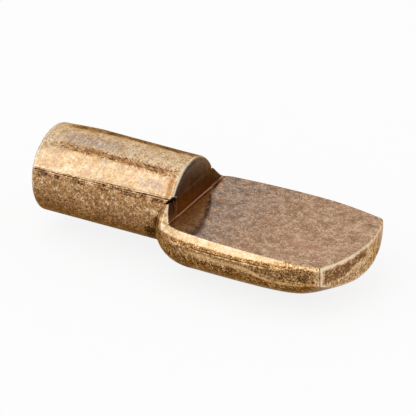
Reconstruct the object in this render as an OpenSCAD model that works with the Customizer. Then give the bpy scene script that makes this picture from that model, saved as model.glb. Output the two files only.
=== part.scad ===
// Spoon-type shelf support pin, cold headed from one length of round wire.
// Frame: X runs along the peg towards the tip of the paddle, Z is up, Y is across.
// The left side is +Y and the right side is -Y, as seen from the peg.
// The origin is on the peg's axis, where the back of the paddle meets the cabinet side.
// The flat deck that carries the shelf lies in the plane of the peg's axis, Z = 0.

/* [Peg] */
// Diameter of the hole that the peg goes into
hole_d = 6.35; // [5:0.05:8]
// Play between the peg and its hole, on the diameter
peg_play = 0.15; // [0.05:0.05:0.4]
// Length of the peg, from the back of the paddle to the free end
peg_length = 9.15; // [6:0.05:14]
// Angle of the die seam above the horizontal, on each side of the peg
seam_angle = 24.5; // [10:0.5:40]
// Sideways mismatch between the upper and the lower half of the peg at the die seam
seam_step = 0.05; // [0.02:0.01:0.1]
// Growth of the peg's radius from the back of the paddle to the shoulder face
peg_swell = 0.03; // [0.01:0.01:0.1]
// Sideways slant of the sheared free end, in degrees
shear_slant = 0.2; // [0:0.2:12]
// Lengthwise lean of the sheared free end, in degrees
shear_lean = 3.4; // [0:0.2:8]
// Length over which the upper edge of the free end is rolled over
rollover_length = 6.4; // [2:0.1:8]
// Depth of the roll-over at the free end
rollover_depth = 0.29; // [0.05:0.01:0.4]

/* [Shoulder] */
// Distance from the back of the paddle to the middle of the shoulder face
shoulder_x = 1.64; // [1.2:0.02:2.4]
// Sideways slant of the shoulder face, whose left side lies further back, in degrees
shoulder_slant = 1.2; // [0:0.1:3]
// Edge radius of the half-round shoulder face
rim_r = 0.42; // [0.1:0.02:0.5]
// Radius left in the corner between the shoulder face and the deck
corner_r = 0.1; // [0.05:0.01:0.2]
// Height of the folded right ear above the deck
ear_height_right = 1.13; // [0.5:0.01:1.4]
// Height of the folded left ear above the deck
ear_height_left = 1.0; // [0.5:0.01:1.4]
// How far the right ear draws in towards the peg over its height
ear_draw_right = 0.4; // [0.2:0.01:0.8]
// How far the left ear draws in towards the peg over its height
ear_draw_left = 0.78; // [0.2:0.01:1.3]
// How hollow the outside of the left ear is, where 1 is straight
ear_hollow = 0.7; // [0.5:0.05:1]
// How far the front of each ear leans back at its top
ear_lean = 0.3; // [0.1:0.01:0.6]
// How far the fold between peg and ear runs back along the peg
fold_depth = 0.65; // [0.3:0.05:0.9]
// Height of the mouth of the fold above the ear
fold_height = 0.5; // [0.3:0.02:1]
// Half the width of the plain middle of the shoulder face, between the folds
fold_y = 2.45; // [1.8:0.05:2.8]

/* [Paddle outline] */
// Length of the deck, from the shoulder face to the middle of the tip
deck_length = 13.26; // [11:0.02:18]
// Greatest width of the paddle
paddle_width = 10.2; // [8:0.1:13]
// Distance from the shoulder face to the widest place
widest_x = 7.05; // [5:0.05:9]
// Radius of the long side curve behind the widest place
side_r = 56; // [30:1:120]
// Radius of the side curve in front of the widest place
nose_side_r = 12.4; // [9:0.1:20]
// Width across the two corners of the tip
tip_width = 8.6; // [5:0.02:8.8]
// Radius of the trimmed front edge
tip_r = 9.1; // [6:0.1:20]
// Radius of the upper edge of the trimmed front
tip_edge_r = 0.2; // [0.05:0.01:0.3]
// How far the middle of the front arc lies to the left
tip_shift = 0.1; // [0:0.01:0.3]
// How far the two corners of the tip are cut back to a small flat
corner_cut = 0.1; // [0.02:0.01:0.2]
// Distance from the shoulder face to where the right side starts to round in at the back
back_start_right = 1.86; // [0.5:0.02:3]
// Distance from the shoulder face to where the left side starts to round in at the back
back_start_left = 0.9; // [0.5:0.1:3]
// How far behind the back of the paddle that rounding would run in to the middle of the peg
back_reach = 0.56; // [0.3:0.02:1]

/* [Paddle edges and underside] */
// Height of the rounded upper edge near the shoulder
edge_height = 0.87; // [0.4:0.01:1.1]
// Width of the rounded upper edge near the shoulder, on the right
edge_width_right = 0.62; // [0.2:0.01:0.8]
// Width of the rounded upper edge near the shoulder, on the left
edge_width_left = 0.34; // [0.2:0.01:0.8]
// Distance from the shoulder face to where the rounded upper edge starts to narrow
taper_start = 7; // [3:0.1:9]
// Width of the rounded upper edge at the tip, on the right
tip_edge_width_right = 0.42; // [0.05:0.01:0.6]
// Width of the rounded upper edge at the tip, on the left
tip_edge_width_left = 0.13; // [0.05:0.01:0.6]
// Height of the rounded upper edge at the tip
tip_edge_height = 0.4; // [0.1:0.01:0.8]
// Height of the side, from the deck down to the chine
side_height = 1.24; // [1.2:0.01:1.8]
// Height of the side at the tip
side_height_tip = 0.88; // [0.6:0.01:1.8]
// Angle at which the underside leaves the chine, as a place on its curve
chine_angle = 22; // [4:1:30]
// Squareness of the underside's cross-section, where 2 is an ellipse
belly_power = 2.45; // [2:0.05:3]
// Squareness of the underside's cross-section at the back
belly_power_back = 1.6; // [1.4:0.1:3]
// Squareness of the underside's cross-section at the tip
belly_power_tip = 2.0; // [1.4:0.05:3]
// Sideways tilt of the underside at the tip, down towards -Y, in degrees
belly_tilt = 5; // [0:0.1:8]
// Depth of the underside below the chine, at the shoulder
belly_depth = 2.64; // [1.6:0.01:3]
// Depth of the underside below the chine, where it starts to rise to the tip
belly_depth_mid = 2.39; // [1.4:0.01:3]
// Depth of the underside below the chine, at the tip
belly_depth_tip = 0.98; // [0.2:0.02:1.2]
// Distance from the shoulder face to where the underside starts to rise
rise_start = 9.7; // [7:0.1:11]

/* [Hidden] */
brass_colour = [0.72, 0.56, 0.38];

left = 1;
right = -1;

peg_r = (hole_d - peg_play) / 2;
seam_z = peg_r * sin(seam_angle);
widest_half = paddle_width / 2;
tip_x = shoulder_x + deck_length;
rise_x = shoulder_x + rise_start;
round_x_right = shoulder_x + back_start_right;
round_x_left = shoulder_x + back_start_left;
back_x = max(round_x_right, round_x_left);
// In front of the widest place the side is an arc that runs out straight to the corner
nose_reach = corner_x(right) - shoulder_x - widest_x;
nose_bend = nose_reach
    - sqrt(max(0, nose_reach * nose_reach - nose_side_r * (paddle_width - tip_width)));
nose_slope = nose_bend / nose_side_r;
// The chine comes in over this stretch, which starts a little behind the shoulder face
chine_lead = 0.6;
chine_from = shoulder_x - chine_lead;
chine_over = 2.8;
// The upper edge has narrowed fully at this distance from the tip
taper_end = 1.2;
taper_from = shoulder_x + taper_start;
taper_over = tip_x - taper_end - taper_from;
// Behind the shoulder, one arc runs from the right wall up to the top of the right ear
ear_rise = edge_height + ear_height_right;
ear_in = edge_width_right + ear_draw_right;
ear_r = (ear_rise * ear_rise + ear_in * ear_in) / (2 * ear_in);
// Over this length it eases into the straight slope that the ear has at the shoulder face
ear_blend = 0.5;
// How far the top of each ear falls towards the back of the fold
fold_fall = ear_lean / 3;
// How far the axis of the roll-over lies below the peg's axis
rollover_low = 2.5 * rollover_depth;

// The blank starts inside the peg and ends beyond the trimmed front edge. Its rings lie
// closer together over the rounded back and over the nose
start_turn = 66;
back_rings = 14;
body_rings = 16;
nose_rings = 16;
nose_length = 4.5;
nose_from = tip_x - nose_length;
edge_steps = 6;
ear_steps = 5;
rollover_steps = 12;
belly_steps = 15;
overshoot = 0.4;
smooth_fn = 128;

// Eases from 0 to 1 with flat ends
function ease(t) = let (c = min(max(t, 0), 1)) c * c * (3 - 2 * c);
function mix(a, b, t) = a + (b - a) * t;
function power(base, exponent) = base <= 0 ? 0 : pow(base, exponent);
// Height of a quarter ellipse that falls from 1 to 0 as t goes from 0 to 1
function quarter(t) = sqrt(max(0, 1 - pow(min(max(t, 0), 1), 2)));
// How far an arc has come in from its tangent after the rise given
function arc_in(r, rise) = r - sqrt(max(0, r * r - rise * rise));
function of_side(side, right_value, left_value) = side == left ? left_value : right_value;
function ear_height(side) = of_side(side, ear_height_right, ear_height_left);

// Half the width of the paddle's outline at its wall, without and with the rounded back
function outline_half(x) =
    let (d = x - shoulder_x - widest_x)
    d > nose_bend
    ? tip_width / 2 - nose_slope * (d - nose_reach)
    : widest_half - d * d / (2 * (d > 0 ? nose_side_r : side_r));
function wall_half(x, side) =
    let (from = of_side(side, round_x_right, round_x_left))
    outline_half(max(x, from)) * quarter((from - x) / (from + back_reach));

// Depth of the underside below the chine
function belly(x) =
    let (rise = (x - rise_x) / (tip_x - rise_x))
    x > rise_x
    ? mix(belly_depth_mid, belly_depth_tip, pow(min(rise, 1), 2))
    : mix(belly_depth, belly_depth_mid, max(0, (x - shoulder_x) / rise_start))
        * quarter((back_x - x) / (back_x + back_reach));

// Upper edge of the paddle: an arc from the deck out to the upright wall
function edge_w(x, side) =
    mix(of_side(side, edge_width_right, edge_width_left),
        of_side(side, tip_edge_width_right, tip_edge_width_left),
        ease((x - taper_from) / taper_over));
function edge_h(x) = mix(edge_height, tip_edge_height, ease((x - taper_from) / taper_over));
function edge_r(x, side) = (pow(edge_h(x), 2) + pow(edge_w(x, side), 2)) / (2 * edge_w(x, side));

// How far the upper part of the wall lies in from the outline, at height z
function edge_at(x, z, side) = arc_in(edge_r(x, side), z + edge_h(x));
function right_at(x, z) =
    mix(arc_in(ear_r, z + edge_height),
        z > 0 ? edge_w(x, right) + ear_draw_right * z / ear_height_right : edge_at(x, z, right),
        ease((x - shoulder_x) / ear_blend + 1));
function left_at(x, z) =
    z > 0
    ? edge_w(x, left) + ear_draw_left * pow(z / ear_height_left, ear_hollow)
    : edge_at(x, z, left);
function upper_heights(x, side) =
    let (turn = asin(min(1, edge_h(x) / edge_r(x, side))))
    concat([for (i = [0 : ear_steps - 1]) ear_height(side) * (1 - i / ear_steps)],
           [for (i = [0 : edge_steps])
               edge_r(x, side) * sin(turn * (1 - i / edge_steps)) - edge_h(x)]);
function upper_points(x, side) =
    [for (z = upper_heights(x, side))
        [wall_half(x, side) - (side == left ? left_at(x, z) : right_at(x, z)), z]];

// Underside from the chine to the middle: part of a superellipse
function across(a, x) = power(cos(a), 2 / squareness(x));
function down(a, x) = power(sin(a), 2 / squareness(x));
function squareness(x) =
    mix(mix(belly_power_back, belly_power, ease(x / back_x)), belly_power_tip, nose_share(x));
function chine_z(x) = -mix(side_height, side_height_tip, nose_share(x));
function belly_points(x, side) =
    let (first = chine_angle * ease((x - chine_from) / chine_over),
         share = nose_share(x),
         tilt = side * share * tan(belly_tilt))
    [for (i = [0 : belly_steps])
        let (a = mix(first, 90, i / belly_steps),
             y = wall_half(x, side) * across(a, x) / across(first, x),
             drop = (down(a, x) - down(first, x)) / (1 - down(first, x)))
        [y, chine_z(x) - belly(x + share * front_bow(side * y)) * drop + tilt * y]];

// Towards the tip, the rise of the underside follows the arc of the front edge
function front_bow(y) = arc_in(tip_r, y - tip_shift);
function nose_share(x) = ease((x - nose_from) / (corner_x(right) - nose_from));
// Place of one corner of the tip along X
function corner_x(side) = tip_x - front_bow(side * tip_width / 2);

// Cross-section at x, from the top of the left ear round the underside to the top of the right
function ring(x) =
    let (to_left = concat(upper_points(x, left), belly_points(x, left)),
         to_right = concat(upper_points(x, right), belly_points(x, right)))
    concat([for (p = to_left) [x, p[0], p[1]]],
           [for (i = [len(to_right) - 2 : -1 : 0]) [x, -to_right[i][0], to_right[i][1]]]);

back_xs = [for (i = [0 : back_rings - 1])
    back_x - (back_x + back_reach) * sin(start_turn * (1 - i / back_rings))];
body_xs = [for (i = [0 : body_rings - 1]) mix(back_x, nose_from, i / body_rings)];
nose_xs = [for (i = [0 : nose_rings]) mix(nose_from, tip_x + overshoot, i / nose_rings)];
ring_xs = concat(back_xs, body_xs, nose_xs);

// Solid skin over a list of rings that all have the same number of points
module skin(rings) {
    n = len(rings[0]);
    last = len(rings) - 1;
    sides = [for (i = [0 : last - 1], j = [0 : n - 1])
        let (a = i * n + j, b = i * n + (j + 1) % n)
        each [[a, b, a + n], [b, b + n, a + n]]];
    back_cap = [[for (j = [n - 1 : -1 : 0]) j]];
    front_cap = [[for (j = [0 : n - 1]) last * n + j]];
    polyhedron(points = [for (r = rings) each r], faces = concat(back_cap, sides, front_cap));
}

// Forged blank of the paddle, before it is struck flat and trimmed
module paddle_blank() {
    skin([for (x = ring_xs) ring(x)]);
}

// Turns what is drawn for a square shoulder face to the slant of the real one
module on_shoulder() {
    translate([shoulder_x - rim_r, 0, 0])
        rotate([0, 0, shoulder_slant])
            translate([rim_r - shoulder_x, 0, 0])
                children();
}

// Space that the flat punch clears above the deck, in front of the shoulder. The lower edge
// of the punch is rounded, which leaves the corner radius
module punch_space() {
    translate([shoulder_x, paddle_width, 0])
        rotate([90, 0, 0])
            linear_extrude(height = 2 * paddle_width) {
                translate([corner_r, 0])
                    square([2 * deck_length, 2 * peg_r]);
                translate([0, corner_r])
                    square([2 * corner_r, 2 * peg_r - corner_r]);
                translate([corner_r, corner_r])
                    circle(corner_r, $fn = smooth_fn);
            }
}

// Folded-in gap between the peg and the ear, one on each side of the shoulder
module fold_space(side) {
    top = ear_height(side);
    mirror([0, side == right ? 1 : 0, 0])
        translate([shoulder_x, paddle_width, 0])
            rotate([90, 0, 0])
                linear_extrude(height = paddle_width - fold_y)
                    polygon([
                        [0, 0],
                        [-ear_lean, top],
                        [-fold_depth, top - fold_fall],
                        [0, top + fold_height],
                        [overshoot, top + fold_height],
                        [overshoot, 0]
                    ]);
}

// What the rounded edge of the shoulder face leaves free round the peg
module rim_space() {
    rotate([0, 90, 0])
        rotate_extrude($fn = smooth_fn)
            translate([peg_r + peg_swell - rim_r, shoulder_x - rim_r])
                difference() {
                    square(2 * rim_r);
                    circle(rim_r, $fn = smooth_fn);
                }
}

// Round form that trims the front edge of the paddle to its arc, with a radius along the top
module trim_outline() {
    translate([tip_x - tip_r, tip_shift, -2 * peg_r])
        rotate_extrude($fn = 2 * smooth_fn) {
            square([tip_r - tip_edge_r, 2 * peg_r]);
            square([tip_r, 2 * peg_r - tip_edge_r]);
            translate([tip_r - tip_edge_r, 2 * peg_r - tip_edge_r])
                intersection() {
                    circle(tip_edge_r, $fn = smooth_fn);
                    square(tip_edge_r);
                }
        }
    translate([-peg_length, -paddle_width, -2 * peg_r])
        cube([peg_length + tip_x - tip_r, 2 * paddle_width, 4 * peg_r]);
}

// Space outside the small flat across one corner of the tip
module corner_space(side) {
    corner_turn = (90 + asin((tip_width / 2 - side * tip_shift) / tip_r)) / 2;
    translate([corner_x(side), side * tip_width / 2, -2 * peg_r])
        rotate([0, 0, side * corner_turn])
            translate([-corner_cut, -tip_r, 0])
                cube([tip_r, 2 * tip_r, 3 * peg_r]);
}

// Round bar laid along X, which swells slightly from the back of the paddle on
module bar() {
    rotate([0, 90, 0])
        rotate_extrude($fn = smooth_fn) {
            translate([0, -2 * peg_length])
                square([peg_r, 2 * peg_length]);
            polygon([
                [0, -rim_r],
                [peg_r, -rim_r],
                [peg_r, 0],
                [peg_r + peg_swell, shoulder_x],
                [peg_r + peg_swell, shoulder_x + rim_r / 2],
                [0, shoulder_x + rim_r / 2]
            ]);
        }
}

// Bullet with its axis set low, so that it rolls over only the top of the free end
module rollover_form() {
    form_r = peg_r + rollover_low;
    nose = [for (i = [0 : rollover_steps])
        let (share = i / rollover_steps)
        [form_r - rollover_depth * (1 - share) * (1 - share), rollover_length * share]];
    translate([-peg_length, 0, -rollover_low])
        rotate([0, 90, 0])
            rotate_extrude($fn = smooth_fn)
                polygon(concat(
                    [[0, -peg_r], [form_r - rollover_depth, -peg_r]],
                    nose,
                    [[form_r, 2 * peg_length + shoulder_x], [0, 2 * peg_length + shoulder_x]]));
}

// Everything on the paddle's side of the sheared free end
module shear_form() {
    translate([-peg_length, 0, 0])
        rotate([0, -shear_lean, -shear_slant])
            translate([0, -2 * paddle_width, -2 * paddle_width])
                cube(4 * paddle_width);
}

// Peg: two die halves that meet along the seam, set off sideways from each other by the step
module peg() {
    intersection() {
        union() {
            difference() {
                translate([0, -seam_step, 0])
                    bar();
                seam_space();
            }
            intersection() {
                bar();
                seam_space();
            }
        }
        rollover_form();
        shear_form();
    }
}

// Everything above the die seam
module seam_space() {
    translate([-3 * peg_length, -2 * peg_r, seam_z])
        cube([6 * peg_length, 4 * peg_r, 2 * peg_r]);
}

module paddle() {
    difference() {
        intersection() {
            paddle_blank();
            trim_outline();
        }
        for (side = [left, right]) corner_space(side);
    }
}

module support_pin() {
    color(brass_colour)
        difference() {
            union() {
                difference() {
                    peg();
                    on_shoulder() rim_space();
                }
                paddle();
            }
            on_shoulder() {
                punch_space();
                for (side = [left, right]) fold_space(side);
            }
        }
}

support_pin();
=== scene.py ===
"""Looks of the shelf support pin: antique brass plating on a cold-headed steel pin.

Places and sizes are in millimetres, in the frame's axes, except where metres are named. The near
side is the one at negative Y. A border is a pair of numbers: nothing before the first, all from
the second, and smooth between them. Noises run on the surface's own place, so they are the same
in each run.
"""
import math
from types import SimpleNamespace

import bpy
import numpy as np
from mathutils import Matrix, Vector


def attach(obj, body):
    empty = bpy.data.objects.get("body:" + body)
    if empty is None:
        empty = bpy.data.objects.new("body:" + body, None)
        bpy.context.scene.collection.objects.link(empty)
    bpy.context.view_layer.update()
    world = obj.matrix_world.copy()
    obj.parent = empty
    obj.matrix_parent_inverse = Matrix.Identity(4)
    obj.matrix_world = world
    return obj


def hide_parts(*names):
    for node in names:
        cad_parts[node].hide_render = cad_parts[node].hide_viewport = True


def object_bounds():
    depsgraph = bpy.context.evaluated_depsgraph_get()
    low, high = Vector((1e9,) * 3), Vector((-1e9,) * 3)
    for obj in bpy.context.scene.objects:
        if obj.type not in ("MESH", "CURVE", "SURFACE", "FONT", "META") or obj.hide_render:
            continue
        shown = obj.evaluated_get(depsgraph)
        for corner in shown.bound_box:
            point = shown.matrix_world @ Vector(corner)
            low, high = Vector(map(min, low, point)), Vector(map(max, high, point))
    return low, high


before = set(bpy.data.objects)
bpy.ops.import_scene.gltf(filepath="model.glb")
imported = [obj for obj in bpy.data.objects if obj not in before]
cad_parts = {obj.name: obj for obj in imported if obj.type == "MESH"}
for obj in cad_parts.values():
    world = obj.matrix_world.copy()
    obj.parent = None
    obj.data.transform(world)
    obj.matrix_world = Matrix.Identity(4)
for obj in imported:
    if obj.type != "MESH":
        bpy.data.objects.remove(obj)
cad_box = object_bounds()

MM = 0.001
NODE = "support_pin"

# The peg's sheared end, the paddle's tip and the peg's radius
END_X = cad_box[0][0] / MM
TIP_X = cad_box[1][0] / MM
PEG_R = cad_box[1][2] / MM

# ---------------------------------------------------------------- camera, lamp and floor

# Camera, as azimuth and elevation in degrees, with the picture's side in millimetres
CAMERA_AZIMUTH = 29.7
CAMERA_ELEVATION = 28.24
CAMERA_DISTANCE_M = 0.2
CAMERA_CLIP_M = (0.001, 10)
PICTURE_MM = 28.05
# How far the middle of the picture lies from the shoulder's foot, to the right and up
AIM_RIGHT_MM = 0.879
AIM_UP_MM = -0.427
AIM_FOOT_MM = (1.7, 0.0, 0.0)

KEY_TOWARDS = (-0.4365, -0.614, 0.658)
KEY_DISTANCE_M = 0.5
KEY_SIZE_M = (0.5, 0.55)
KEY_RADIANCE = 0.76
WORLD_LIGHT = 0.8

FLOOR_HALF_M = 1.5
FLOOR_GAP_MM = 0.05
FLOOR_WHITE = 0.95
FLOOR_GLOW = 0.85

# ---------------------------------------------------------------- surface

# Remesh, which gives about 193,000 triangles, and the rounding of its sharp edges
OCTREE_DEPTH = 9
OCTREE_SCALE = 0.55
ROUND_PASSES = 1
ROUND_FACTOR = 0.5

# Rounding of the deck's near edge, and the bevel worn on it: how far down the bevel
# reaches at the back and at the tip, and what share of the way in to its flat it goes
EDGE_WIDTH = 0.62
EDGE_HEIGHT = 0.87
BEVEL_BACK = 0.66
BEVEL_TIP = 0.4
BEVEL_SHARE = 0.8
BEVEL_END_X = (TIP_X - 4.5, TIP_X - 2.5)

# Borders of slope, as a part of the normal: along Z for the deck and the underside, and along X
# for the shoulder's wall and the front
DECK_SLOPE = (0.9, 0.97)
WALL_SLOPE = (0.5, 0.7)
FRONT_SLOPE = (0.35, 0.6)
BELOW_SLOPE = (0.28, 0.4)

# Borders of the near side, the back of the paddle, the shoulder's ears and the folds over them
NEAR_Y = (0.4, -0.4)
WALL_BACK_X = 0.9
BACK_X = (-0.6, 0.6)
CORNER_Y = (3.5, 3.7)
EAR_Y = (2.35, 2.5)
EAR_Z = (1.2, 1.35)
EAR_FOOT_Y = (3.0, 3.3)
FOLD_DEPTH = 0.75
FOLD_Z = (1.0, 1.15)

# Side: how far down the bevel is lightened, as rubbed brass with a painted highlight on the lit near
# side, how it narrows and dulls towards the tip, and the chine above the underside, which drops and
# then rises again
RUB_AND_HIGHLIGHT_DOWN = 0.39
RUB_AND_HIGHLIGHT_NARROWING = 0.4
RUB_AND_HIGHLIGHT_NARROWS_X = (6, 12)
DULL_X = (TIP_X - 5.5, TIP_X - 3.0)
CHINE_START_X = (3.0, 4.5)
CHINE_Z = -1.0
CHINE_DROP = 0.55
CHINE_DROP_X = (TIP_X - 6.7, TIP_X - 4.3)
CHINE_RISE = 0.2
CHINE_RISE_X = (TIP_X - 3.4, TIP_X - 1.4)
CHINE_HALF = 0.15

# Front: where it begins, and the dark patch on it, which rises and narrows away from the near
# corner
FRONT_X = (TIP_X - 2.6, TIP_X - 2.2)
TIP_BAND_X = (TIP_X - 2.4, TIP_X - 2.0)
PATCH_Z = -0.74
PATCH_RISE = 0.34
PATCH_HALF = 0.5
PATCH_NARROWING = 0.16

# Die seam: its angle round the peg halfway along, and how many degrees it turns in a millimetre
SEAM_ANGLE = 24.3
SEAM_TURN = 0.55
SEAM_MID_X = -4.2
SEAM_Z = PEG_R * math.sin(math.radians(SEAM_ANGLE))
SEAM_RISE = PEG_R * math.cos(math.radians(SEAM_ANGLE)) * math.radians(SEAM_TURN)
SEAM_LINE_GAP = 0.125

# Borders round the peg, in degrees up from its near or its far side
# These two borders darken the peg towards its bottom: the duller patina of an unrubbed side, with
# painted shade for the shadowed floor it mirrors
LOW_ANGLES = (-40, 8)
PAINTED_SHADE_ANGLES = (-58, -42)
CALM_TOP_ANGLES = (51, 55)
# Bands round the peg, from and to, in the same degrees
COLLAR_ANGLES = (28, 52)
NEAR_STREAK_ANGLES = (54, 64)
FAR_STREAK_ANGLES = (61, 79)
STAIN_ANGLES = (66, 86)
SCUFF_ANGLES = (33, 44)

# Single marks, as middle and reach
# A painted highlight: a small glint on top of the peg
PAINTED_GLINT = ((END_X + 2.367, 0.09, PEG_R), (0.2, 0.07, 1))
NICKS = (
    ((TIP_X - 1.28, 2.99, 0), (0.16, 0.09, 1)),
    ((TIP_X - 0.74, 2.96, 0), (0.15, 0.07, 1)),
)
BLUSH_PLACE = ((TIP_X - 3.8, -1.7, 0), (1.1, 0.5, 1))


def direction(azimuth, elevation):
    """Unit vector from the object towards a viewer or lamp at that azimuth and elevation."""
    a, e = math.radians(azimuth), math.radians(elevation)
    return Vector((math.sin(a) * math.cos(e), -math.cos(a) * math.cos(e), math.sin(e)))


def add_object(name, data):
    made = bpy.data.objects.new(name, data)
    bpy.context.scene.collection.objects.link(made)
    return made


def add_camera():
    """Looks along the chosen direction without perspective."""
    data = bpy.data.cameras.new("camera")
    data.type = "ORTHO"
    data.ortho_scale = PICTURE_MM * MM
    data.clip_start, data.clip_end = CAMERA_CLIP_M
    camera = add_object("camera", data)
    back = direction(CAMERA_AZIMUTH, CAMERA_ELEVATION)
    camera.rotation_mode = "QUATERNION"
    camera.rotation_quaternion = back.to_track_quat("Z", "Y")
    turn = camera.rotation_quaternion.to_matrix()
    target = Vector(AIM_FOOT_MM) + turn @ Vector((AIM_RIGHT_MM, AIM_UP_MM, 0))
    camera.location = target * MM + back * CAMERA_DISTANCE_M
    bpy.context.scene.camera = camera


def build_surface():
    """Evenly meshed copy of the CAD solid in millimetres, with its sharp edges just rounded."""
    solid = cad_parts[NODE].data.copy()
    solid.transform(Matrix.Scale(1 / MM, 4))
    work = add_object("work", solid)
    remesh = work.modifiers.new("remesh", "REMESH")
    remesh.mode = "SHARP"
    remesh.octree_depth = OCTREE_DEPTH
    remesh.scale = OCTREE_SCALE
    remesh.sharpness = 1.0
    rounding = work.modifiers.new("rounding", "SMOOTH")
    rounding.factor = ROUND_FACTOR
    rounding.iterations = ROUND_PASSES
    depsgraph = bpy.context.evaluated_depsgraph_get()
    surface = bpy.data.meshes.new_from_object(work.evaluated_get(depsgraph))
    bpy.data.objects.remove(work)
    surface.materials.clear()
    surface.polygons.foreach_set("use_smooth", [True] * len(surface.polygons))
    return surface


def read_vectors(source, name, count):
    """A mesh's places or normals as an array of three columns."""
    found = np.empty(count * 3)
    source.foreach_get(name, found)
    return found.reshape(-1, 3)


def neighbour_mean(values, edges, times):
    """Mean over each vertex's neighbours, taken that many times."""
    count = np.bincount(edges.ravel(), minlength=len(values))[:, None]
    for _ in range(times):
        total = np.zeros_like(values)
        for axis in range(values.shape[1]):
            total[:, axis] = np.bincount(edges[:, 0], values[edges[:, 1], axis], len(values))
            total[:, axis] += np.bincount(edges[:, 1], values[edges[:, 0], axis], len(values))
        values = total / count
    return values


def step(low, high, value):
    """Eases from 0 at low to 1 at high."""
    t = np.clip((value - low) / (high - low), 0, 1)
    return t * t * (3 - 2 * t)


def between(low, high, soft, value):
    """1 from low to high, easing to 0 over that softness on either side of both borders."""
    return step(low - soft, low + soft, value) * (1 - step(high - soft, high + soft, value))


def spot(at, centre, size):
    """1 in the middle of an ellipsoid, falling off smoothly outwards."""
    return np.exp(-(((at - np.array(centre)) / np.array(size)) ** 2).sum(axis=1))


def shoulder_place(mesh):
    """Place of the shoulder face along X, in millimetres."""
    at = read_vectors(mesh.vertices, "co", len(mesh.vertices))
    return at[at[:, 2] > PEG_R / 2, 0].max()


def bevel_near_edge(mesh, shoulder_x):
    """Flattens the upper half of the near edge's rounding to the bevel that wear has left."""
    at = read_vectors(mesh.vertices, "co", len(mesh.vertices))
    x, y, z = at.T
    radius = (EDGE_HEIGHT ** 2 + EDGE_WIDTH ** 2) / (2 * EDGE_WIDTH)

    def inset(z):
        rise = np.clip(z + EDGE_HEIGHT, 0, radius)
        return radius - np.sqrt(radius ** 2 - rise ** 2)

    low = BEVEL_BACK + (BEVEL_TIP - BEVEL_BACK) * step(shoulder_x, TIP_X, x)
    share = np.clip(-z / low, 0, 1)
    straight = inset(0.0) * (1 - share) + inset(-low) * share
    on_edge = (z > -low) * (z < 0.02) * (y < -3)
    move = np.clip(straight - inset(z), 0, None) * on_edge
    move *= step(shoulder_x - 0.2, shoulder_x + 0.6, x) * (1 - step(*BEVEL_END_X, x))
    at[:, 1] += BEVEL_SHARE * move
    mesh.vertices.foreach_set("co", at.ravel())
    mesh.update()


# ---------------------------------------------------------------- worn and dark places

class Skin:
    """The surface's vertices, and the marks that are written to them as named values."""

    def __init__(self, mesh):
        count = len(mesh.vertices)
        self.mesh = mesh
        self.at = read_vectors(mesh.vertices, "co", count)
        self.normal = read_vectors(mesh.vertex_normals, "vector", count)
        self.x, self.y, self.z = self.at.T
        self.nx, _, self.nz = self.normal.T
        self.angle = np.degrees(np.arctan2(self.z, np.abs(self.y)))
        self.reach = np.hypot(self.y, self.z)
        self.near = step(*NEAR_Y, self.y)

    def relief(self):
        """Convex edges, which stand out from the mean of what is round them, and hollows."""
        edges = np.empty(len(self.mesh.edges) * 2, dtype=np.int64)
        self.mesh.edges.foreach_get("vertices", edges)
        edges = edges.reshape(-1, 2)
        fine = ((self.at - neighbour_mean(self.at, edges, 5)) * self.normal).sum(axis=1)
        broad = ((self.at - neighbour_mean(self.at, edges, 30)) * self.normal).sum(axis=1)
        return step(0.006, 0.026, fine), step(0.01, 0.07, -broad)

    def write(self, **marks):
        for name, values in marks.items():
            made = self.mesh.attributes.new(name, "FLOAT", "POINT")
            made.data.foreach_set("value", values.astype(np.float32))


def chine_height(x):
    """Height of the chine, which drops along the paddle and lifts again at the tip."""
    return CHINE_Z - CHINE_DROP * step(*CHINE_DROP_X, x) + CHINE_RISE * step(*CHINE_RISE_X, x)


def find_zones(skin, shoulder_x):
    """How far each vertex belongs to the peg, the deck, the faces, the underside and the side."""
    x, y, z, nx, nz = skin.x, skin.y, skin.z, skin.nx, skin.nz
    zone = SimpleNamespace()
    zone.wall = between(WALL_BACK_X, shoulder_x + 0.2, 0.1, x)
    zone.peg = 1 - step(shoulder_x - 0.05, shoulder_x + 0.05, x)
    zone.peg *= 1 - step(*BACK_X, x) * (1 - step(0.2, 0.6, z))
    zone.deck = step(*DECK_SLOPE, nz) * between(-0.12, 0.12, 0.05, z) * step(0, 0.1, x - shoulder_x)
    zone.corner = between(shoulder_x - 0.25, shoulder_x + 0.16, 0.03, x)
    zone.corner *= between(-0.1, 0.16, 0.04, z) * (1 - step(*CORNER_Y, np.abs(y)))
    zone.face = np.maximum(step(*WALL_SLOPE, nx) * step(0.03, 0.12, z) * zone.wall, zone.corner)
    zone.front = step(*FRONT_SLOPE, nx) * step(*FRONT_X, x) * (1 - zone.deck)

    # At the back the underside begins by its slope, and further on under the chine
    chined = step(3, 5, x)
    under = step(*BELOW_SLOPE, -nz) * (1 - chined) + step(0.14, 0.34, chine_height(x) - z) * chined
    zone.below = under * step(-0.9, 0.3, x) * (1 - zone.front)
    rest = 1 - zone.peg - zone.deck - zone.face - zone.front - zone.below
    zone.side = np.clip(rest, 0, 1)
    return zone


def find_side_marks(skin, zone, shoulder_x):
    """The near bevel, rubbed brass with a painted highlight, narrower and duller to the tip; the
    chine; and the near ear, lightened in the same way.
    """
    x, z = skin.x, skin.z
    mark = SimpleNamespace()
    down = -z / (RUB_AND_HIGHLIGHT_DOWN * (1 - RUB_AND_HIGHLIGHT_NARROWING * step(*RUB_AND_HIGHLIGHT_NARROWS_X, x)))
    mark.bevel = zone.side * skin.near * between(0.0, 1, 0.1, down)
    mark.bevel *= step(shoulder_x - 1.0, shoulder_x - 0.2, x)
    mark.ear_out = zone.side * skin.near * step(-0.1, 0.2, z)
    mark.chine = between(-CHINE_HALF, CHINE_HALF, 0.07, z - chine_height(x))
    mark.chine *= step(*CHINE_START_X, x) * (1 - zone.front)
    mark.dull = step(*DULL_X, x)
    mark.bright = mark.bevel * (1 - mark.dull)
    return mark


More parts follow.
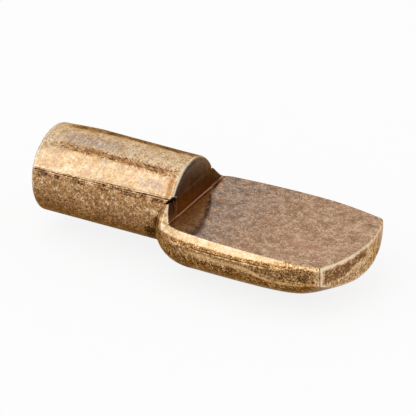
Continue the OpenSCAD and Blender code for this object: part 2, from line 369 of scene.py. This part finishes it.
def find_front_marks(skin, zone):
    """The near corner's groove between two light lines, and the front's patch, rim and foot."""
    x, y, z = skin.x, skin.y, skin.z
    mark = SimpleNamespace()

    # Distance round the near corner: below 0 on the side and above 0 on the front
    corner_at = skin.at[np.argmax(x * 0.6 - y * 0.8)]
    across = (x - corner_at[0]) + (y - corner_at[1])
    band = step(*TIP_BAND_X, x) * (1 - zone.deck) * (1 - zone.below) * (1 - step(0.0, 0.5, y))
    light = np.maximum(between(-0.29, -0.2, 0.025, across), between(-0.07, 0.12, 0.04, across))
    mark.light = light * band
    mark.groove = between(-0.18, -0.1, 0.025, across) * band

    middle = PATCH_Z + PATCH_RISE * step(-2.6, -0.6, y)
    half = PATCH_HALF - PATCH_NARROWING * step(-3.0, -1.0, y)
    mark.patch = zone.front * step(0.3, 0.45, across) * (1 - step(-0.1, 0.6, y))
    mark.patch *= 1 - step(0.7, 1.15, np.abs(z - middle) / half)
    mark.rim = zone.front * (1 - step(0.05, 0.16, -z)) * (1 - 0.6 * step(-1.5, 1.0, y))
    mark.foot = zone.front * step(1.05, 1.3, -z)
    mark.pale = zone.front * step(1.8, 3.2, y) * step(0.1, 0.3, -z)
    mark.far = zone.front * step(-0.6, 1.2, y)
    return mark


def find_peg_marks(skin, zone, shoulder_x):
    """The sheared end, and the bands along the rest of the peg."""
    x, angle, near = skin.x, skin.angle, skin.near
    mark = SimpleNamespace()
    mark.sheared = step(0.5, 0.8, -skin.nx) * (1 - step(END_X + 0.6, END_X + 1.0, x))
    mark.along = zone.peg * (1 - mark.sheared)
    mark.over_seam = angle - SEAM_ANGLE - SEAM_TURN * (x - SEAM_MID_X)
    mark.under_seam = 1 - step(-0.8, 0.8, mark.over_seam)
    # Darker towards the bottom: unrubbed patina with painted shade of the shadowed floor
    mark.low = 1 - step(*LOW_ANGLES, angle) + 0.4 * (1 - step(*PAINTED_SHADE_ANGLES, angle))
    mark.collar = mark.along * between(shoulder_x - 0.75, shoulder_x - 0.12, 0.1, x)
    mark.collar *= between(*COLLAR_ANGLES, 4, angle) * near

    streak = between(*NEAR_STREAK_ANGLES, 2.5, angle) * near
    streak += 1.5 * between(*FAR_STREAK_ANGLES, 3, angle) * (1 - near)
    streak *= step(END_X + 0.4, END_X + 2.0, x) * (1 - step(shoulder_x - 0.6, shoulder_x, x))
    mark.streak = mark.along * streak
    return mark


def find_patina(skin, zone, side, front, peg):
    """How dark the plating is, from 0 for rubbed brass to 1 for nearly black, with painted shade
    under the peg and the paddle and painted highlights on the near bevel and ear.
    """
    patina = peg.along * (0.18 + 0.31 * peg.under_seam + 0.32 * peg.low)
    patina += zone.peg * peg.sheared * 0.5 + zone.deck * 0.45 + zone.face * 0.8
    patina += zone.front * (0.26 + 0.16 * front.foot + 0.02 * step(-0.5, 1.0, skin.y))
    # The underside: dark patina, darker still where it faces down, as painted shade of the floor
    # under it
    patina += zone.below * (0.86 + 0.14 * step(0.5, 0.8, -skin.nz))
    # The near bevel and ear are lightened: rubbed brass with a painted highlight of the lamp
    patina += zone.side * (0.77 + 0.06 * side.dull) - 0.42 * side.chine - 0.52 * side.ear_out
    patina += 0.34 * front.patch - 0.3 * front.rim - side.bevel * (0.62 - 0.26 * side.dull)
    patina += 0.3 * peg.collar + 0.5 * front.groove - 0.32 * front.light
    return patina


def write_shoulder(skin, zone, shoulder_x):
    """Painted shade, very dark, in the folds, on the ears and a ring of the shoulder face and on the
    far ear; the inner corner's line; and the rims, rubbed brass with a painted highlight.
    """
    x, y, z, nx = skin.x, skin.y, skin.z, skin.nx
    # Painted shade: the folds over the peg, the lower ears and a ring of the shoulder face, and the
    # far ear turned from the lamp
    ear = zone.face * step(*EAR_Y, np.abs(y)) * (1 - step(*EAR_Z, z))
    fold = between(shoulder_x - FOLD_DEPTH, shoulder_x + 0.1, 0.05, x) * step(*FOLD_Z, z)
    fold *= (1 - step(PEG_R - 0.12, PEG_R - 0.04, skin.reach)) * (1 - step(0.6, 0.8, nx))
    ring = between(0.55, 0.97, 0.04, nx) * zone.wall * step(1.1, 1.3, z) * (1 - step(-0.5, 1.5, y))
    far_ear = zone.wall * step(2.3, 2.6, y) * between(0.08, 1.05, 0.05, z) * step(-0.2, 0.2, nx)
    black = np.maximum.reduce((ear * step(0.15, 0.5, z) * 0.6, fold, 0.7 * ring, 0.7 * far_ear))
    pink = zone.corner * between(0.0, 0.05, 0.03, z) * (1 - step(2.2, 3.4, np.abs(y)))

    # Rims: rubbed brass with a painted highlight of the lamp laid over, brighter on the lit near side
    # and fainter over the top, joined by the painted glint
    rim = between(0.48, 0.66, 0.05, nx) * zone.wall * step(PEG_R - 0.3, PEG_R - 0.2, skin.reach)
    rim *= step(1.25, 1.5, z) * (1 - 0.6 * step(50, 80, skin.angle)) * (0.4 + 0.6 * skin.near)
    ear_rim = between(0.42, 0.75, 0.06, nx) * zone.wall * step(*EAR_FOOT_Y, np.abs(y))
    ear_rim *= between(-0.12, 1.15, 0.06, z) * (1 - zone.corner) * (0.3 + 0.7 * skin.near)
    rim = np.maximum.reduce((rim, ear_rim, spot(skin.at, *PAINTED_GLINT)))
    skin.write(face=zone.face, black=black, pink=pink, rim=rim)


def write_peg(skin, side, front, peg):
    """The peg's streaks, the skin under its seam, its mauve stains, and what is calm all over."""
    x, near, angle = skin.x, skin.near, skin.angle
    calm = peg.along * step(-1, 1, peg.over_seam) * (1 - step(*CALM_TOP_ANGLES, angle))
    calm = np.clip(calm + side.bright + front.light + front.rim, 0, 1)
    stain = between(*STAIN_ANGLES, 5, angle) * between(END_X + 1.4, -3.6, 0.8, x)
    scuff = between(*SCUFF_ANGLES, 3, angle) * between(-1.2, 0.5, 0.4, x)
    mauve = np.clip(peg.along * near * (stain + scuff), 0, 1)
    below_seam = peg.along * between(-9, 0, 1, peg.over_seam)
    skin.write(along=peg.along, streak=peg.streak, under_seam=below_seam, calm=calm, mauve=mauve)


def write_paddle(skin, zone, side, front):
    """The paddle's own zones, and the single marks on its deck."""
    nick = sum(spot(skin.at, *place) for place in NICKS)
    skin.write(deck=zone.deck, nick=zone.deck * nick, blush=zone.deck * spot(skin.at, *BLUSH_PLACE))
    skin.write(side=zone.side * (1 - 0.8 * side.bright), below=zone.below, chine=side.chine)
    skin.write(patch=front.patch, pale=front.pale, front_far=front.far)


def write_regions(mesh, shoulder_x):
    """Writes how worn, how dark and how speckled each place of the surface is."""
    skin = Skin(mesh)
    zone = find_zones(skin, shoulder_x)
    side = find_side_marks(skin, zone, shoulder_x)
    front = find_front_marks(skin, zone)
    peg = find_peg_marks(skin, zone, shoulder_x)
    edge, hollow = skin.relief()
    edge *= 1 - 0.6 * step(0.3, 2.0, skin.y) * step(TIP_X - 1.8, TIP_X - 1.2, skin.x)

    rugged = zone.side * (1 - side.bright - 1.5 * side.chine) + 1.1 * zone.front * (1 - front.rim)
    rugged += 1.4 * zone.below + 0.5 * peg.along * peg.under_seam * (1 - peg.low)
    skin.write(patina=find_patina(skin, zone, side, front, peg))
    skin.write(edge=edge, hollow=hollow, rugged=np.clip(rugged, -1, 2))
    write_shoulder(skin, zone, shoulder_x)
    write_peg(skin, side, front, peg)
    write_paddle(skin, zone, side, front)


# ---------------------------------------------------------------- material

# Patina from freshly rubbed brass to the darkest brown, and the yellower one of the side
PATINA = (
    (0.0, (0.80, 0.64, 0.45)),
    (0.25, (0.56, 0.36, 0.178)),
    (0.5, (0.375, 0.187, 0.07)),
    (0.75, (0.19, 0.097, 0.05)),
    (1.0, (0.035, 0.018, 0.008)),
)
SIDE_PATINA = (
    (0.0, (0.84, 0.64, 0.38)),
    (0.35, (0.56, 0.335, 0.145)),
    (0.65, (0.32, 0.165, 0.062)),
    (1.0, (0.08, 0.04, 0.01)),
)
# Rims of the shoulder and ears: rubbed brass lit up as a painted highlight
RIM_RUB_AND_HIGHLIGHT = (0.86, 0.70, 0.50)
PINKISH = (0.52, 0.31, 0.225)
GREYISH = (0.30, 0.235, 0.205)
MAUVE = (0.36, 0.27, 0.25)
BLACK = (0.03, 0.018, 0.012)

DECK_LIGHT = (0.66, 0.47, 0.33)
DECK_MID = (0.37, 0.232, 0.156)
DECK_DARK = (0.17, 0.105, 0.075)
DECK_PINK = (0.43, 0.25, 0.20)
# Painted reflection of the shoulder wall on the deck, from its lighter to its browner part
REFLECTION_LIGHT = (0.78, 0.49, 0.24)
REFLECTION_BROWN = (0.52, 0.30, 0.145)
MAUVE_LIGHT = (0.42, 0.34, 0.30)
MAUVE_DARK = (0.17, 0.13, 0.115)
BLUSH = (0.52, 0.27, 0.22)

# Shoulder face: the brass painted dark as the shade it lies in
FACE_TOP = (0.19, 0.125, 0.10)
FACE_LIGHT = (0.33, 0.21, 0.15)
FACE_SHADE = (0.10, 0.052, 0.026)
FACE_RED = (0.16, 0.072, 0.03)
CORNER_PINK = (0.46, 0.24, 0.16)
FRONT_RED = (0.17, 0.07, 0.035)
PALE = (0.78, 0.70, 0.68)

SPECULAR_TINT = (0.7, 0.52, 0.36, 1)
ROUGHNESS = 0.26

# How high each relief stands, in millimetres
GRAIN_HEIGHT = 0.016
MOTTLE_HEIGHT = 0.02
SEAM_HEIGHT = -0.012
STRIA_HEIGHT = 0.014


class Graph:
    """Shorthand for a material's node tree."""

    def __init__(self, name):
        self.material = bpy.data.materials.new(name)
        self.material.use_nodes = True
        self.tree = self.material.node_tree
        self.shader = self.tree.nodes["Principled BSDF"]
        self.shader.inputs["Base Color"].default_value = (0.5, 0.5, 0.5, 1)
        self.marks = {}

    def add(self, kind, **settings):
        node = self.tree.nodes.new("ShaderNode" + kind)
        for name, value in settings.items():
            setattr(node, name, value)
        return node

    def put(self, socket, value):
        if isinstance(value, bpy.types.NodeSocket):
            self.tree.links.new(value, socket)
        elif isinstance(value, tuple) and len(value) == 3 and socket.type == "RGBA":
            socket.default_value = (*value, 1)
        else:
            socket.default_value = value

    def mark(self, name):
        """The value that write_regions has written to the surface under that name."""
        if name not in self.marks:
            self.marks[name] = self.add("Attribute", attribute_name=name).outputs["Fac"]
        return self.marks[name]

    def math(self, operation, a, b=0.0):
        node = self.add("Math", operation=operation)
        self.put(node.inputs[0], a)
        self.put(node.inputs[1], b)
        return node.outputs[0]

    def times(self, *values):
        out = values[0]
        for value in values[1:]:
            out = self.math("MULTIPLY", out, value)
        return out

    def plus(self, *values):
        out = values[0]
        for value in values[1:]:
            out = self.math("ADD", out, value)
        return out

    def less(self, a, b):
        return self.math("SUBTRACT", a, b)

    def clamped(self, value):
        return self.math("MAXIMUM", self.math("MINIMUM", value, 1.0), 0.0)

    def ease(self, low, high, value, to_low=0.0, to_high=1.0):
        node = self.add("MapRange", interpolation_type="SMOOTHSTEP")
        for name, v in (("Value", value), ("From Min", low), ("From Max", high),
                        ("To Min", to_low), ("To Max", to_high)):
            self.put(node.inputs[name], v)
        return node.outputs[0]

    def mix(self, factor, a, b):
        node = self.add("Mix", data_type="RGBA")
        for place, value in ((0, factor), (6, a), (7, b)):
            self.put(node.inputs[place], value)
        return node.outputs[2]

    def ramp(self, value, stops):
        node = self.add("ValToRGB")
        self.put(node.inputs[0], value)
        elements = node.color_ramp.elements
        elements[0].position, elements[0].color = stops[0][0], (*stops[0][1], 1)
        elements[1].position, elements[1].color = stops[-1][0], (*stops[-1][1], 1)
        for place, colour in stops[1:-1]:
            elements.new(place).color = (*colour, 1)
        return node.outputs[0]

    def scaled(self, vector, scale, offset=(0, 0, 0), turn=(0, 0, 0)):
        node = self.add("Mapping")
        self.put(node.inputs["Vector"], vector)
        node.inputs["Scale"].default_value = scale
        node.inputs["Location"].default_value = offset
        node.inputs["Rotation"].default_value = turn
        return node.outputs[0]

    def noise(self, vector, per_mm, detail=2.0, roughness=0.5, distortion=0.0, offset=(0, 0, 0),
              stretch=(1, 1, 1), turn=(0, 0, 0)):
        """Noise from 0 to 1 with a mean of 0.5, with that many bumps a millimetre."""
        node = self.add("TexNoise", noise_dimensions="3D")
        placed = self.scaled(vector, tuple(per_mm * s for s in stretch), offset, turn)
        self.put(node.inputs["Vector"], placed)
        node.inputs["Scale"].default_value = 1.0
        node.inputs["Detail"].default_value = detail
        node.inputs["Roughness"].default_value = roughness
        node.inputs["Distortion"].default_value = distortion
        return node.outputs["Fac"]

    def swing(self, vector, per_mm, **settings):
        """Noise with a mean of 0."""
        return self.less(self.noise(vector, per_mm, **settings), 0.5)

    def hairs(self, vector, per_mm, width, offset):
        """Wavy hair-fine lines, which are the contours of a noise."""
        wave = self.swing(vector, per_mm, detail=1, distortion=0.4, offset=offset)
        return self.ease(width, width * 0.3, self.math("ABSOLUTE", wave))

    def bump(self, height, distance_mm, normal=None):
        node = self.add("Bump")
        self.put(node.inputs["Height"], height)
        node.inputs["Distance"].default_value = distance_mm * MM
        node.inputs["Strength"].default_value = 1.0
        if normal is not None:
            self.put(node.inputs["Normal"], normal)
        return node.outputs[0]


def shared_noises(g, mm):
    """The noises that several parts of the plating have in common, from coarse to fine."""
    n = SimpleNamespace()
    n.blotch = g.swing(mm, 0.8, offset=(3, 7, 1))
    n.tint = g.noise(mm, 1.3, roughness=0.6, offset=(2, 6, 8))
    n.mottle = g.swing(mm, 2.2, offset=(11, 2, 5))
    n.drawn = g.swing(mm, 3.0, roughness=0.6, offset=(6, 1, 3), stretch=(0.3, 1, 1))
    n.grain = g.swing(mm, 6.5, detail=1, offset=(1, 9, 4))
    n.fine = g.swing(mm, 11.0, detail=1, offset=(4, 1, 7))
    speck = g.noise(mm, 6.0, roughness=0.7, offset=(8, 3, 2), stretch=(0.6, 1, 1))
    n.flecks = g.ease(0.55, 0.66, speck)
    broken = g.ease(0.38, 0.56, g.noise(mm, 2.0, detail=1, offset=(9, 9, 1)))
    curled = g.math("MAXIMUM", g.hairs(mm, 2.4, 0.042, (5, 5, 9)), g.hairs(mm, 3.6, 0.06, (15, 2, 3)))
    n.curls = g.times(curled, broken)
    return n


def speckles(g, n):
    """Mottling, grain, light curls and dark flecks, quieter where the surface is calm."""
    calm = g.mark("calm")
    restless = g.plus(g.ease(0.0, 1.0, calm, 1.0, 0.4), g.times(g.mark("rugged"), 0.45))
    grit = g.plus(g.times(n.grain, 0.7), g.times(n.fine, 0.9))
    flecked = g.plus(0.1, g.times(g.mark("streak"), 0.35), g.times(g.mark("side"), 0.16),
                     g.times(g.mark("under_seam"), 0.3), g.times(g.mark("below"), 0.1),
                     g.times(calm, -0.08))
    return g.plus(g.times(n.blotch, 0.3), g.times(n.mottle, 0.25), g.times(grit, restless),
                  g.times(n.curls, restless, -0.2), g.times(n.flecks, flecked))


def wear(g, mm, n):
    """Dark streaks and hollows, rubbed edges, and streaks on the front and the underside."""
    below, edge_share = g.mark("below"), g.ease(0, 1, g.mark("chine"), 0.45, 0.1)
    streaks = g.times(g.mark("streak"), g.plus(0.2, g.times(g.ease(-0.12, 0.1, n.drawn), 0.26)))
    under = g.times(g.mark("under_seam"), g.ease(-0.12, 0.08, n.mottle), 0.28)
    edges = g.times(g.mark("edge"), g.ease(-0.25, 0.1, n.mottle), edge_share, -1.0)
    fall = g.swing(mm, 2.6, roughness=0.6, offset=(4, 4, 4), stretch=(1, 1.4, 0.22))
    slant = g.swing(mm, 2.4, offset=(7, 7, 7), stretch=(1.6, 0.35, 0.35), turn=(0, 0, 0.5))
    return g.plus(streaks, under, edges, g.times(g.mark("hollow"), 0.3),
                  g.times(fall, g.mark("front_far"), 2.2),
                  g.times(below, g.ease(0.02, 0.14, slant), -0.28))


def seam_lines(g, mm, x, z):
    """The die seam along the peg: a few parallel hair lines, as a wave from -1 to 1."""
    over = g.less(z, g.plus(SEAM_Z, g.times(g.less(x, SEAM_MID_X), SEAM_RISE)))
    window = g.times(g.ease(-0.25, -0.2, over), g.ease(0.07, 0.03, over), g.mark("along"))
    wobble = g.times(g.swing(mm, 0.8, detail=1, offset=(1, 2, 3)), 2.2)
    wave = g.math("SINE", g.plus(g.times(over, 2 * math.pi / SEAM_LINE_GAP), wobble, -0.8))
    return g.times(wave, window)


def bevel_line(g, x, y, z, shoulder_x):
    """Lower border of the bevel: one crisp dark line that runs lengthwise, with a light one."""
    over = g.less(z, g.ease(shoulder_x, TIP_X, x, -BEVEL_BACK, -BEVEL_TIP))
    length = g.times(g.ease(shoulder_x + 1.8, shoulder_x + 3.0, x),
                     g.ease(shoulder_x + 9.4, shoulder_x + 8.0, x),
                     g.ease(0.9, 0.5, g.mark("deck")))
    cut = g.ease(0.055, 0.02, g.math("ABSOLUTE", over))
    lit = g.ease(0.055, 0.02, g.math("ABSOLUTE", g.plus(over, 0.085)))
    return g.times(g.less(g.times(cut, 0.5), g.times(lit, 0.22)), length, g.ease(0.0, -2.0, y))


def skin_colour(g, mm, n, dark):
    """Brass of the peg, the side, the underside and the front."""
    side = g.mark("side")
    colour = g.ramp(dark, PATINA)
    light_part = g.times(g.ease(0.6, 0.1, dark), g.ease(1.0, 0.0, side, 0.2, 1.0))
    colour = g.mix(g.times(g.ease(0.55, 0.68, n.tint), light_part, 0.5), colour, PINKISH)
    colour = g.mix(g.times(g.ease(0.44, 0.33, n.tint), light_part, 0.3), colour, GREYISH)
    scuffed = g.swing(mm, 4.0, roughness=0.6, offset=(3, 8, 6), stretch=(1.6, 0.4, 0.4),
                      turn=(0, 0.6, 0))
    colour = g.mix(g.times(g.mark("mauve"), g.ease(-0.08, 0.08, scuffed, 0.1, 0.75)), colour, MAUVE)
    colour = g.mix(g.times(side, 0.8), colour, g.ramp(dark, SIDE_PATINA))
    blotched = g.ease(-0.1, 0.08, g.plus(n.mottle, g.times(n.grain, 0.5)), 0.25, 1.0)
    colour = g.mix(g.times(g.mark("patch"), blotched, 0.8), colour, FRONT_RED)
    return g.mix(g.times(g.mark("pale"), g.ease(-0.1, 0.1, n.drawn, 0.15, 0.6)), colour, PALE)


def deck_colour(g, n, from_wall, painted_reflection):
    """Mauve near the wall, tan further out, with a blush, and a painted reflection of the wall where
    the deck mirrors it.
    """
    tone = g.clamped(g.plus(0.53, g.times(n.blotch, 0.75), g.times(n.mottle, 0.6),
                            g.times(n.grain, 0.8), g.times(n.fine, 1.2), g.times(n.curls, -0.4),
                            g.times(n.flecks, 0.16), g.times(from_wall, -0.012)))
    plate = g.ramp(tone, ((0.0, DECK_LIGHT), (0.42, DECK_MID), (1.0, DECK_DARK)))
    pinkness = g.times(g.ease(0.54, 0.7, n.tint), g.ease(6.0, 2.0, from_wall, 0.45, 0.15))
    plate = g.mix(pinkness, plate, DECK_PINK)
    plate = g.mix(g.times(g.mark("blush"), g.ease(-0.15, 0.1, n.mottle, 0.2, 0.7)), plate, BLUSH)
    grey = g.times(g.ease(7.0, 2.0, from_wall), g.ease(0.66, 0.46, n.tint), 0.75)
    plate = g.mix(grey, plate, g.mix(g.ease(0.2, 0.65, tone), MAUVE_LIGHT, MAUVE_DARK))
    return g.mix(painted_reflection, plate, g.mix(g.ease(0.2, 0.7, tone), REFLECTION_LIGHT, REFLECTION_BROWN))


def wall_colour(g, n, z, stria):
    """Shoulder face, painted dark as shade: reddish at its foot and greyer at the top, with faint
    upright streaks.
    """
    height = g.plus(z, g.times(n.mottle, 1.5), g.times(n.grain, 1.5))
    wall = g.ramp(g.ease(0.0, PEG_R - 0.1, height),
                  ((0.0, FACE_RED), (0.1, FACE_RED), (0.4, FACE_SHADE), (1.0, FACE_TOP)))
    wall = g.mix(g.ease(0.0, 0.16, stria, 0.0, 0.26), wall, BLACK)
    return g.mix(g.ease(-0.02, -0.16, stria, 0.0, 0.12), wall, FACE_LIGHT)


def antique_brass(shoulder_x):
    """Mottled brass plating, with the colours of the deck, the shoulder and the rims laid over."""
    g = Graph("antique_brass")
    mm = g.scaled(g.add("TexCoord").outputs["Object"], (1 / MM,) * 3)
    axes = g.add("SeparateXYZ")
    g.put(axes.inputs[0], mm)
    x, y, z = axes.outputs
    deck, face = g.mark("deck"), g.mark("face")
    n = shared_noises(g, mm)
    seam = seam_lines(g, mm, x, z)
    stria = g.swing(mm, 4.5, roughness=0.6, offset=(2, 2, 4), stretch=(1, 1, 0.22))
    # Painted reflection of the shoulder wall on the deck beside it: a slanting patch that fits one
    # viewing angle, lighter and rougher there
    from_wall = g.less(x, shoulder_x)
    mirrored = g.ease(3.1, 2.0, g.plus(y, g.times(from_wall, 2.6), g.times(n.mottle, 1.2)))
    painted_reflection = g.times(mirrored, g.ease(2.2, 1.4, g.plus(from_wall, n.mottle)), 0.95)

    dark = g.clamped(g.plus(g.mark("patina"), speckles(g, n), wear(g, mm, n), g.times(seam, 0.3),
                            bevel_line(g, x, y, z, shoulder_x)))
    colour = skin_colour(g, mm, n, dark)
    colour = g.mix(deck, colour, deck_colour(g, n, from_wall, painted_reflection))
    colour = g.mix(g.times(g.mark("nick"), 0.85), colour, BLACK)
    colour = g.mix(face, colour, wall_colour(g, n, z, stria))
    # Painted shade on the folds, the ears and the ring
    colour = g.mix(g.mark("black"), colour, BLACK)
    colour = g.mix(g.times(g.mark("pink"), 0.6), colour, CORNER_PINK)
    # Rubbed rims, with their painted highlight and glint
    colour = g.mix(g.mark("rim"), colour, RIM_RUB_AND_HIGHLIGHT)
    rough = g.plus(ROUGHNESS, g.times(n.grain, 0.25), g.times(n.flecks, 0.1), g.times(deck, -0.1),
                   g.times(painted_reflection, 0.14))
    lively = g.ease(1.0, 0.0, deck, 0.15, 1.0)
    normal = g.bump(g.times(n.grain, lively), GRAIN_HEIGHT)
    normal = g.bump(g.times(n.mottle, lively), MOTTLE_HEIGHT, normal)
    normal = g.bump(seam, SEAM_HEIGHT, normal)
    normal = g.bump(g.times(stria, face), STRIA_HEIGHT, normal)

    g.put(g.shader.inputs["Base Color"], colour)
    g.put(g.shader.inputs["Roughness"], rough)
    g.put(g.shader.inputs["Normal"], normal)
    g.shader.inputs["Metallic"].default_value = 1.0
    g.shader.inputs["Specular Tint"].default_value = SPECULAR_TINT
    return g.material


# ---------------------------------------------------------------- stage

def seen_directly(tree):
    """1 for rays that see a thing itself, straight or in metal or glass, and 0 for the rest."""
    path = tree.nodes.new("ShaderNodeLightPath")
    total = path.outputs["Is Camera Ray"]
    for name in ("Is Glossy Ray", "Is Transmission Ray"):
        either = tree.nodes.new("ShaderNodeMath")
        either.operation = "MAXIMUM"
        tree.links.new(total, either.inputs[0])
        tree.links.new(path.outputs[name], either.inputs[1])
        total = either.outputs[0]
    return total


def floor_material():
    """Pale matt floor that glows towards the camera, so that it shows white but for the shadow."""
    made = bpy.data.materials.new("floor")
    made.use_nodes = True
    tree = made.node_tree
    tree.nodes.remove(tree.nodes["Principled BSDF"])
    diffuse = tree.nodes.new("ShaderNodeBsdfDiffuse")
    diffuse.inputs["Color"].default_value = (FLOOR_WHITE, FLOOR_WHITE, FLOOR_WHITE, 1)
    glow = tree.nodes.new("ShaderNodeEmission")
    share = tree.nodes.new("ShaderNodeMath")
    share.operation = "MULTIPLY"
    share.inputs[1].default_value = FLOOR_GLOW
    tree.links.new(seen_directly(tree), share.inputs[0])
    both = tree.nodes.new("ShaderNodeMixShader")
    tree.links.new(share.outputs[0], both.inputs[0])
    tree.links.new(diffuse.outputs[0], both.inputs[1])
    tree.links.new(glow.outputs[0], both.inputs[2])
    tree.links.new(both.outputs[0], tree.nodes["Material Output"].inputs["Surface"])
    return made


def add_floor():
    mesh = bpy.data.meshes.new("floor")
    s, z = FLOOR_HALF_M, cad_box[0][2] - FLOOR_GAP_MM * MM
    mesh.from_pydata([(-s, -s, z), (s, -s, z), (s, s, z), (-s, s, z)], [], [(0, 1, 2, 3)])
    floor = add_object("floor", mesh)
    mesh.materials.append(floor_material())


def add_world():
    """White all round as seen, and a little dimmer as a light."""
    world = bpy.data.worlds.new("world")
    bpy.context.scene.world = world
    world.use_nodes = True
    tree = world.node_tree
    background = tree.nodes["Background"]
    background.inputs["Color"].default_value = (1, 1, 1, 1)
    strength = tree.nodes.new("ShaderNodeMapRange")
    strength.inputs["To Min"].default_value = WORLD_LIGHT
    strength.inputs["To Max"].default_value = 1.0
    tree.links.new(seen_directly(tree), strength.inputs["Value"])
    tree.links.new(strength.outputs[0], background.inputs["Strength"])


def add_lamp(name, towards, distance, size, radiance):
    """Rectangular lamp whose face has that radiance, aimed at the origin."""
    lamp = bpy.data.lights.new(name, "AREA")
    lamp.shape = "RECTANGLE"
    lamp.size, lamp.size_y = size
    lamp.energy = radiance * math.pi * size[0] * size[1]
    made = add_object(name, lamp)
    where = Vector(towards).normalized()
    made.location = where * distance
    made.rotation_mode = "QUATERNION"
    made.rotation_quaternion = where.to_track_quat("Z", "Y")


add_camera()
surface = build_surface()
shoulder_x = shoulder_place(surface)
bevel_near_edge(surface, shoulder_x)
write_regions(surface, shoulder_x)
surface.transform(Matrix.Scale(MM, 4))
piece = add_object("pin_surface", surface)
piece.data.materials.append(antique_brass(shoulder_x))
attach(piece, "root")
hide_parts(NODE)
add_floor()
add_world()
add_lamp("key", KEY_TOWARDS, KEY_DISTANCE_M, KEY_SIZE_M, KEY_RADIANCE)
bpy.context.scene.view_settings.view_transform = "Standard"
